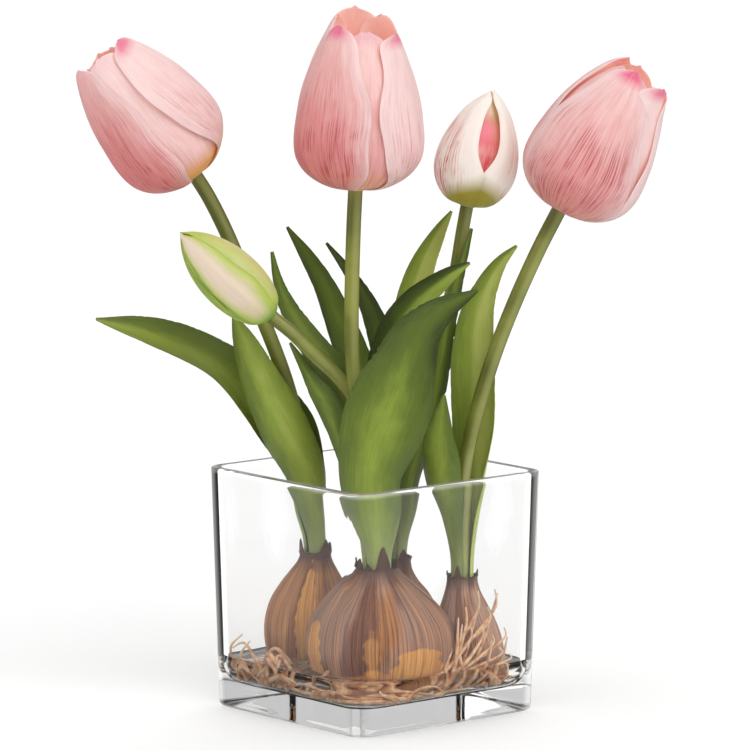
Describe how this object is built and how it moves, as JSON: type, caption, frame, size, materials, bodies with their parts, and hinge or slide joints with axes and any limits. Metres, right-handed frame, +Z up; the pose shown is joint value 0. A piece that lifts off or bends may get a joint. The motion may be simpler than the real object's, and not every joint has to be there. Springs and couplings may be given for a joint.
{
  "type": "tulips in a vase",
  "caption": "Square clear glass vase of bulb tulips with open blooms, buds, broad upright leaves and roots in shallow water, for table display.",
  "frame": {"origin": "centre of the vase's flat bottom face", "axes": "+Z up, X and Y along the sides of the vase; the front view looks at the corner between -X and -Y"},
  "size_m": [0.1965, 0.1662, 0.2901],
  "materials": {
    "vase_glass": "clear gloss",
    "water": "clear gloss",
    "bulb_tunic": "dry satin",
    "roots": "matte",
    "stem": "satin",
    "leaf": "satin",
    "petal": "soft satin",
    "bud": "soft satin"
  },
  "bodies": {
    "root": {"vase": "vase_glass", "water": "water", "bulb_front": "bulb_tunic", "bulb_left": "bulb_tunic", "bulb_right": "bulb_tunic", "bulb_back": "bulb_tunic", "roots_front": "roots", "roots_left": "roots", "roots_right": "roots", "roots_back": "roots", "stem_left": "stem", "stem_centre": "stem", "stem_closed_bud": "stem", "stem_half_open": "stem", "stem_right": "stem", "leaf_left_arching": "leaf", "leaf_left_upright": "leaf", "leaf_front_broad": "leaf", "leaf_front_left_short": "leaf", "leaf_front_left_slender": "leaf", "leaf_front_right_folded": "leaf", "leaf_back_left": "leaf", "leaf_back_narrow": "leaf", "leaf_back_tall": "leaf", "leaf_back_ragged": "leaf", "leaf_right_tall": "leaf", "leaf_right_short": "leaf", "tulip_left": "petal", "tulip_centre": "petal", "tulip_right": "petal", "bud_half_open": "bud", "bud_closed": "bud"}
  },
  "joints": []
}
